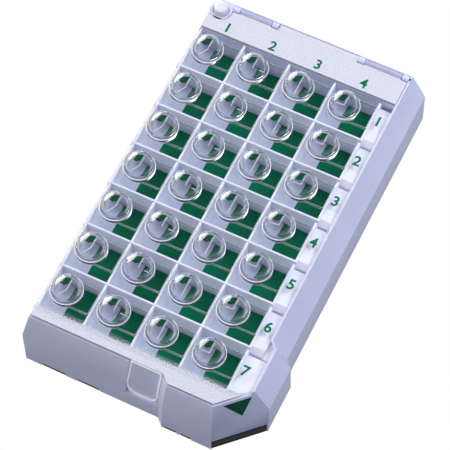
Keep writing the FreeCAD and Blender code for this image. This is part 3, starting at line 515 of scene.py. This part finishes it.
def build_lid(form):
    """Flat plate with the lid's outline and a keyhole for every flap."""
    outlines = [lid_outline()]
    for row in range(ROWS):
        for column in range(COLUMNS):
            outlines.append(keyhole_outline(disc_middle(column), row_middle(row), SLIT))
    edges = []
    for outline in outlines:
        loop = [form.verts.new((x, y, LID_LOW)) for x, y in outline]
        edges += [form.edges.new(pair) for pair in zip(loop, loop[1:] + loop[:1])]
    filled = bmesh.ops.triangle_fill(form, edges=edges, use_beauty=True, use_dissolve=False)
    faces = [item for item in filled["geom"] if isinstance(item, bmesh.types.BMFace)]
    for face in faces:
        if face.normal.z > 0:
            face.normal_flip()
    lifted = bmesh.ops.extrude_face_region(form, geom=faces, use_keep_orig=True)
    raised = [item for item in lifted["geom"] if isinstance(item, bmesh.types.BMVert)]
    bmesh.ops.translate(form, verts=raised, vec=(0, 0, LID_TOP - LID_LOW))
    bmesh.ops.recalc_face_normals(form, faces=form.faces)
    for face in form.faces:
        if abs(face.normal.z) < 0.5:
            face.material_index = SIDE_MATERIAL


def build_barrels(form):
    """Two clear barrels round the hinge pins."""
    for start, end in HINGE_SPANS:
        first = len(form.verts)
        left, right = start + KNUCKLE + KNUCKLE_GAP, end - KNUCKLE - KNUCKLE_GAP
        add_lathe(form, [(0, left), (BARREL_RADIUS, left), (BARREL_RADIUS, right), (0, right)], 32)
        form.verts.ensure_lookup_table()
        for vertex in form.verts[first:]:
            x, y, along = vertex.co
            vertex.co = (along, HINGE_Y + y, HINGE_LEVEL - x)
    bmesh.ops.recalc_face_normals(form, faces=form.faces)


def rounded(radius, centre_level, start, end, step, middle=0.0):
    """Points of a (radius, level) profile along an arc, with its angles in degrees."""
    angles = [math.radians(angle) for angle in range(start, end, step)]
    return [(middle + radius * math.cos(angle), centre_level + radius * math.sin(angle)) for angle in angles]


def dome_profile():
    """Profile of a disc with a rounded rim and the dome that stands on it."""
    rim_level = DISC_TOP - RIM_ROUNDING
    rim = [(0, LID_LOW), (DISC_RADIUS - DISC_CHAMFER, LID_LOW), (DISC_RADIUS, LID_LOW + DISC_CHAMFER),
           (DISC_RADIUS, rim_level)]
    rim += rounded(RIM_ROUNDING, rim_level, 30, 91, 30, DISC_RADIUS - RIM_ROUNDING)
    fillet = [(7.45, DISC_TOP), (7.3, DISC_TOP + 0.12), (7.12, DISC_TOP + 0.4)]
    return rim + fillet + rounded(DOME_RADIUS, DOME_CENTRE, -4, 90, 4) + [(0, DOME_CENTRE + DOME_RADIUS)]


def cavity_profile():
    """Profile of the air space between the disc and the thin dome."""
    radius = DOME_RADIUS - DOME_WALL
    arch = rounded(radius, DOME_CENTRE, 0, 90, 6)
    return [(0, DISC_TOP), (radius, DISC_TOP), *arch, (0, DOME_CENTRE + radius)]


# steps of the dome's profile that go round the disc's rim
RIM_STEPS = range(3, 6)


def build_flap(form):
    """A flap at the origin: a hollow dome on its disc, and the tab beside it."""
    add_lathe(form, cavity_profile(), DOME_SIDES)
    hollow = form.faces[:]
    bmesh.ops.recalc_face_normals(form, faces=hollow)
    bmesh.ops.reverse_faces(form, faces=hollow)
    known = set(hollow)
    add_lathe(form, dome_profile(), DOME_SIDES,
              material_of=lambda number: EDGE_MATERIAL if number in RIM_STEPS else 0)
    radius = DISC_RADIUS + TAB_GAP
    start = math.degrees(math.asin(HALF_TAB / radius))
    inner = arc((0, 0), radius, start, -start, 20)
    outline = [(TAB_REACH, -HALF_TAB), (TAB_REACH, HALF_TAB), *inner]
    reach, half = TAB_REACH - TAB_CHAMFER, HALF_TAB - TAB_CHAMFER
    top = [(reach, -half), (reach, half), *inner]
    add_prism(form, outline, LID_LOW, TAB_EDGE, SIDE_MATERIAL)
    add_tapered_rim(form, outline, top, TAB_EDGE, LID_TOP)
    bmesh.ops.recalc_face_normals(form, faces=[face for face in form.faces if face not in known])
    for face in form.faces:
        if face.material_index == 0 and face.calc_center_bounds().x > DISC_RADIUS:
            face.material_index = TAB_MATERIAL


# thin hands printed on each disc, by direction in degrees, start and end: a long one that points to the back,
# and a short one that differs by column
HALF_HAND = 0.17
LONG_HAND = (90.0, -0.2, 6.6)
SHORT_HANDS = ((-120.0, 0.0, 4.8), (0.0, 3.3, 6.9), (-90.0, 0.0, 4.4), (180.0, 0.0, 4.2))

# undersides and tops of the printed hands and of the painted refraction, over the disc
PRINT_BASE = DISC_TOP + 0.01
REFRACTION_MARK_TOP = DISC_TOP + 0.06
SHORT_TOP = DISC_TOP + 0.09
LONG_TOP = DISC_TOP + 0.12


def hand_outline(angle, start, end):
    """Narrow bar with a pointed end."""
    along = Vector((math.cos(math.radians(angle)), math.sin(math.radians(angle))))
    across = Vector((-along.y, along.x)) * HALF_HAND
    corners = [along * start - across, along * end - across, along * (end + HALF_HAND), along * end + across,
               along * start + across]
    return [tuple(corner) for corner in corners]


def refraction_mark_outline():
    """Green segment at the back left of every disc: a painted refraction of the green cell floor, which the
    dome bends into view there.
    """
    return arc((0, 0), 7.8, 92, 160, 22) + list(reversed(arc((0, 0), 2.8, 108, 146, 12)))


def build_hands(form, column):
    """The green painted-refraction segment and the two hands of a disc at the origin."""
    add_prism(form, refraction_mark_outline(), PRINT_BASE, REFRACTION_MARK_TOP)
    for face in form.faces:
        face.material_index = 1
    add_prism(form, hand_outline(*LONG_HAND), PRINT_BASE, LONG_TOP)
    add_prism(form, hand_outline(*SHORT_HANDS[column]), PRINT_BASE, SHORT_TOP)


def add_flap_copy(source, name, flap, place, *materials, hides=()):
    """A copy of a mesh made at the origin, moved to a flap's place."""
    mesh = source.copy()
    for vertex in mesh.vertices:
        vertex.co += place
    add_piece(name, mesh, flap, "clear_flap", *materials, hides=hides)


def make_flaps():
    dome_mesh = mesh_from("flap_form", build_flap, smooth=True)
    dome_materials = (MATERIALS["clear_flap"], SHADED_SIDE, HIGHLIGHT_EDGE, MATERIALS["clear_lid"])
    for column in range(COLUMNS):
        hands_mesh = mesh_from(f"hands_{column + 1}", lambda form: build_hands(form, column))
        for row in range(ROWS):
            cell = f"{row + 1}_{column + 1}"
            flap = f"flap_{cell}"
            place = Vector((disc_middle(column) * MM, row_middle(row) * MM, 0))
            add_flap_copy(dome_mesh, f"dome_{cell}", flap, place, *dome_materials, hides=(flap,))
            add_flap_copy(hands_mesh, f"hands_{cell}", flap, place, HAND_WHITE, POINTER_AND_REFRACTION_GREEN)


def make_lid():
    mesh = mesh_from("lid_plate", build_lid)
    plate = add_piece("lid_plate", mesh, "lid", "clear_lid", MATERIALS["clear_lid"], SHADED_SIDE, HIGHLIGHT_EDGE,
                      hides=("lid", "lid_hinge_band"))
    bevel_piece(plate, 0.07, segments=1, angle=40.0, material=EDGE_MATERIAL)
    plate.data.shade_flat()
    mesh = mesh_from("hinge_barrels", build_barrels, smooth=True)
    add_piece("hinge_barrels", mesh, "lid", "clear_lid", BAR_CLEAR)
    tongue = polished_copy("latch_tongue", 0.35, "lid", "clear_lid")
    tongue.data.materials.clear()
    tongue.data.materials.append(TONGUE_CLEAR)
    tongue.data.materials.append(HIGHLIGHT_EDGE)
    for face in tongue.data.polygons:
        face.material_index = 1 if abs(face.normal.y) < 0.9 else 0


# ---------------------------------------------------------------- button
BUTTON_RADIUS = 3.9
BUTTON_FOOT = 28.0
BUTTON_CROWN = ((3.6, 36.2), (3.5, 36.7), (3.2, 37.0), (2.6, 37.15), (1.4, 37.18), (0, 37.2))


def build_button(form):
    """Round button with a low crown."""
    profile = [(0, BUTTON_FOOT), (BUTTON_RADIUS, BUTTON_FOOT), (BUTTON_RADIUS, LID_TOP), *BUTTON_CROWN]
    add_lathe(form, profile, 48, BUTTON_PLACE)
    bmesh.ops.recalc_face_normals(form, faces=form.faces)


def make_button():
    mesh = mesh_from("button_cap", build_button, smooth=True, angle=40.0)
    add_piece("button_cap", mesh, "button", "button_white", MATERIALS["button_white"],
              hides=("corner_button",))


def make_spring():
    """The button's return spring, a rounded copy with a mesh of its own."""
    spring = polished_copy("button_spring", 0.05, "housing", "steel")
    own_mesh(spring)


# ---------------------------------------------------------------- printed marks
# number labels: height of the letters in millimetres; stroke and thickness in metres
LABEL_SIZE = 7.6
LABEL_STROKE = 0.0002
LABEL_THICKNESS = 0.00002
LABEL_LIFT = 0.02
COLUMN_LABEL_SHIFT = 3.2
COLUMN_LABEL_Y = 91.6
ROW_LABEL_X = 53.6
ROW_LABEL_SHIFT = -0.9


def make_label(name, text, x, y):
    """A printed number, as a very thin raised mesh on the lid."""
    curve = bpy.data.curves.new(name, "FONT")
    curve.body = text
    curve.size = LABEL_SIZE * MM
    curve.extrude = LABEL_THICKNESS
    curve.offset = LABEL_STROKE
    curve.align_x = "CENTER"
    curve.align_y = "CENTER"
    writer = bpy.data.objects.new(name, curve)
    bpy.context.scene.collection.objects.link(writer)
    depsgraph = bpy.context.evaluated_depsgraph_get()
    mesh = bpy.data.meshes.new_from_object(writer.evaluated_get(depsgraph))
    bpy.data.objects.remove(writer)
    for vertex in mesh.vertices:
        vertex.co += Vector((x, y, LID_TOP + LABEL_LIFT)) * MM
    mesh.materials.clear()
    add_piece(name, mesh, "lid", "clear_lid", LABEL_GREEN)


def make_labels():
    for column in range(COLUMNS):
        make_label(f"column_label_{column + 1}", str(column + 1), disc_middle(column) + COLUMN_LABEL_SHIFT,
                   COLUMN_LABEL_Y)
    for row in range(ROWS):
        make_label(f"row_label_{row + 1}", str(row + 1), ROW_LABEL_X, row_middle(row) + ROW_LABEL_SHIFT)


POINTER_CORNERS = ((62.1, -85.15, 31.2), (52.15, -95.1, 31.2), (60.4, -91.7, 21.9))
POINTER_SUNK = 0.05
POINTER_PROUD = 0.04


def build_pointer(form):
    """Flat triangle that points down the cut corner's upper face to the drawer."""
    outward = Vector((SLANT_RISE, -SLANT_RISE, SLANT_RUN * ROOT_TWO)).normalized()
    settled = []
    for corner in map(Vector, POINTER_CORNERS):
        wanted = SLANT_LINE + ROOT_TWO * SLANT_RUN * (LID_TOP - corner.z) / SLANT_RISE
        shift = (wanted - (corner.x - corner.y)) / 2
        settled.append(corner + Vector((shift, -shift, 0)))
    back = [form.verts.new(corner - outward * POINTER_SUNK) for corner in settled]
    face = [form.verts.new(corner + outward * POINTER_PROUD) for corner in settled]
    form.faces.new(face)
    form.faces.new(list(reversed(back)))
    for index in range(3):
        following = (index + 1) % 3
        form.faces.new((back[index], back[following], face[following], face[index]))
    bmesh.ops.recalc_face_normals(form, faces=form.faces)


def make_pointer():
    mesh = mesh_from("corner_pointer", build_pointer)
    add_piece("corner_pointer", mesh, "housing", "white_shell", POINTER_AND_REFRACTION_GREEN)


# ---------------------------------------------------------------- corner shelf and drawer face
SHELF_OUTLINE = ((57.3, -64.6), (61.35, -64.6), (61.35, -59.4), (57.3, -55.35))
SHELF_LEVELS = (26.5, 29.9)


def make_shoulder():
    """Shelf that closes the corner between the sixth pad and the housing's wall."""
    mesh = mesh_from("shoulder_shelf", lambda form: add_prism(form, SHELF_OUTLINE, *SHELF_LEVELS))
    piece = add_piece("shoulder_shelf", mesh, "housing", "white_shell", MATERIALS["tray_white"])
    bevel_piece(piece, 0.2)


def corner_slab(form, near, far, half_width, low, high):
    """Upright slab along the cut corner, between two distances from the middle of the frame."""
    corners = []
    for across, along in ((near, -half_width), (far, -half_width), (far, half_width), (near, half_width)):
        along += CORNER_MIDDLE
        corners.append(((along + across) / ROOT_TWO, (along - across) / ROOT_TWO))
    add_prism(form, corners, low, high)


def make_drawer_front():
    """The drawer's front face, and under it a near-black sill that paints shade along the slot's floor."""
    front = mesh_from("drawer_front",
                      lambda form: corner_slab(form, 108.3, CORNER_FACE - 0.12, 13.45, 1.75, 6.5))
    piece = add_piece("drawer_front", front, "drawer", "drawer_dark", MATERIALS["drawer_dark"])
    bevel_piece(piece, 0.25)
    # painted shade: a near-black sill fills the slot's floor under the drawer face
    sill = mesh_from("drawer_shade_sill", lambda form: corner_slab(form, 106.5, CORNER_FACE - 0.1, 13.7, 0.1, 1.5))
    piece = add_piece("drawer_shade_sill", sill, "housing", "dark_base", MATERIALS["dark_base"])
    bevel_piece(piece, 0.15)


# ---------------------------------------------------------------- dressing
def dress_cad_nodes():
    """Every CAD node gets the material of its slot."""
    for entry in frame["record"]["subparts"]:
        mesh = nodes[entry["node"]].data
        mesh.materials.clear()
        mesh.materials.append(MATERIALS[entry["material_slot"]])
    for side in ("left", "right"):
        pin = nodes[f"hinge_pin_{side}"].data
        pin.materials.clear()
        pin.materials.append(BAR_CLEAR)


def polish_shells():
    """Rounded copies of the housing, the base and the racks."""
    polished_copy("upper_housing", 0.6, "housing", "white_shell")
    polished_copy("base_plate", 0.3, "housing", "dark_base")
    for row in range(ROWS):
        polished_copy(f"day_rack_{row + 1}", 0.15, "housing", "tray_white")


# ---------------------------------------------------------------- stage, lights and camera
FLOOR_SIZE = 6.0
FLOOR_GAP = 0.0002


def make_stage():
    """White floor, which lamps light only faintly and mirrors see at half strength."""
    bpy.ops.mesh.primitive_plane_add(size=FLOOR_SIZE, location=(0, 0, cad_low[2] - FLOOR_GAP))
    floor = bpy.context.object
    floor.name = "floor"
    material, tree, shader = new_material("floor_white")
    shader.inputs["Base Color"].default_value = (0.11, 0.12, 0.16, 1)
    shader.inputs["Roughness"].default_value = 0.9
    path = add_node(tree, "ShaderNodeLightPath")
    level = math_node(tree, "SUBTRACT", 1.0, math_node(tree, "MULTIPLY", path.outputs["Is Glossy Ray"], 0.5))
    glow = add_node(tree, "ShaderNodeEmission", {"Color": (1, 1, 1, 1), "Strength": level})
    bent = math_node(tree, "MAXIMUM", path.outputs["Is Glossy Ray"], path.outputs["Is Transmission Ray"])
    seen = math_node(tree, "MAXIMUM", path.outputs["Is Camera Ray"], bent)
    blend = add_node(tree, "ShaderNodeMixShader",
                     {0: seen, 1: shader.outputs["BSDF"], 2: glow.outputs["Emission"]})
    tree.links.new(blend.outputs["Shader"], tree.nodes["Material Output"].inputs["Surface"])
    floor.data.materials.append(material)


# direction of the big lamp whose image shows in the domes
LAMP_DIRECTION = Vector((-0.86, 0.40, 0.22)).normalized()
# direction that the bluer room light comes from
BLUE_DIRECTION = Vector((0.80, 0.60, 0.20)).normalized()
# direction of the room's dark side
DARK_DIRECTION = Vector((0.72, -0.69, 0.0)).normalized()
# the room's strength, what of it reflections and bent rays don't see, and the strength of the lamp's image
ROOM_LEVEL = 0.74
UNSEEN_LEVEL = 0.66
PANEL_LEVEL = 14.0


def towards(tree, direction, target):
    """How far a direction points at the target: 1 straight at it, 0 square to it."""
    node = add_node(tree, "ShaderNodeVectorMath", {0: direction, 1: target}, operation="DOT_PRODUCT")
    return node.outputs["Value"]


def make_world():
    """Soft room light, bluer at the right, with a bright panel that only reflections see."""
    world = bpy.data.worlds.new("studio")
    bpy.context.scene.world = world
    world.use_nodes = True
    tree = world.node_tree
    background = tree.nodes["Background"]
    place = add_node(tree, "ShaderNodeTexCoord")
    direction = add_node(tree, "ShaderNodeVectorMath", {0: place.outputs["Generated"]}, operation="NORMALIZE")
    split = add_node(tree, "ShaderNodeSeparateXYZ", {0: direction.outputs[0]})
    ahead = math_node(tree, "MAXIMUM", towards(tree, direction.outputs[0], DARK_DIRECTION), 0.0)
    shade = math_node(tree, "MULTIPLY", ahead, 0.95)
    rise = smooth_step(tree, math_node(tree, "SUBTRACT", split.outputs[2], shade), -0.1, 0.9)
    blue_side = smooth_step(tree, towards(tree, direction.outputs[0], BLUE_DIRECTION), 0.0, 0.8)
    left_side = smooth_step(tree, split.outputs[0], -0.9, -0.1)
    plain = mix_colour(tree, left_side, (0.90, 0.92, 1.0), (0.07, 0.08, 0.09))
    low_colour = mix_colour(tree, blue_side, plain, (0.20, 0.27, 0.55))
    room = mix_colour(tree, rise, low_colour, (0.98, 0.98, 1.0))
    panel = smooth_step(tree, towards(tree, direction.outputs[0], LAMP_DIRECTION), 0.78, 0.92)
    path = add_node(tree, "ShaderNodeLightPath")
    glossy, bent = path.outputs["Is Glossy Ray"], path.outputs["Is Transmission Ray"]
    mirrored = math_node(tree, "MULTIPLY", glossy, math_node(tree, "SUBTRACT", 1.0, bent))
    either = math_node(tree, "MAXIMUM", glossy, bent)
    dimmed = math_node(tree, "SUBTRACT", ROOM_LEVEL, math_node(tree, "MULTIPLY", either, UNSEEN_LEVEL))
    shown = math_node(tree, "MULTIPLY", math_node(tree, "MULTIPLY", panel, mirrored), PANEL_LEVEL)
    strength = math_node(tree, "ADD", shown, dimmed)
    tree.links.new(room, background.inputs["Color"])
    tree.links.new(strength, background.inputs["Strength"])


# name, place, side in metres, power in watts and colour of each soft lamp, and the point that they face
SOFTBOXES = (
    ("key_softbox", (-0.75, 0.45, 0.95), 0.6, 4.0, (1.0, 1.0, 1.0)),
    ("fill_softbox", (-0.60, -1.00, 0.45), 0.7, 2.7, (0.82, 0.86, 1.0)),
    ("side_softbox", (0.60, 0.36, 0.85), 0.4, 5.5, (0.84, 0.89, 1.0)),
)
LAMP_AIM = Vector((0, 0, 0.02))


def add_softbox(name, place, side, power, colour):
    """Square lamp that shines on the object, and shows in no reflection."""
    light = bpy.data.lights.new(name, "AREA")
    light.shape = "RECTANGLE"
    light.size = side
    light.size_y = side
    light.energy = power
    light.color = colour
    lamp = bpy.data.objects.new(name, light)
    lamp.location = place
    lamp.rotation_euler = (LAMP_AIM - Vector(place)).to_track_quat("-Z", "Y").to_euler()
    lamp.visible_glossy = False
    lamp.visible_transmission = False
    bpy.context.scene.collection.objects.link(lamp)


def make_camera():
    camera = bpy.data.cameras.new("camera")
    camera.lens = VIEW_LENS
    camera.sensor_width = SENSOR_WIDTH
    camera.sensor_fit = "HORIZONTAL"
    holder = bpy.data.objects.new("camera", camera)
    flat = math.cos(VIEW_ELEVATION)
    direction = Vector((math.sin(VIEW_AZIMUTH) * flat, -math.cos(VIEW_AZIMUTH) * flat,
                        math.sin(VIEW_ELEVATION)))
    holder.location = VIEW_TARGET + direction * VIEW_DISTANCE
    holder.rotation_euler = (-direction).to_track_quat("-Z", "Y").to_euler()
    bpy.context.scene.collection.objects.link(holder)
    bpy.context.scene.camera = holder


dress_cad_nodes()
polish_shells()
make_lid()
make_flaps()
make_button()
make_spring()
make_labels()
make_pointer()
make_shoulder()
make_drawer_front()
make_stage()
make_world()
for softbox in SOFTBOXES:
    add_softbox(*softbox)
make_camera()
bpy.context.scene.view_settings.view_transform = "Standard"
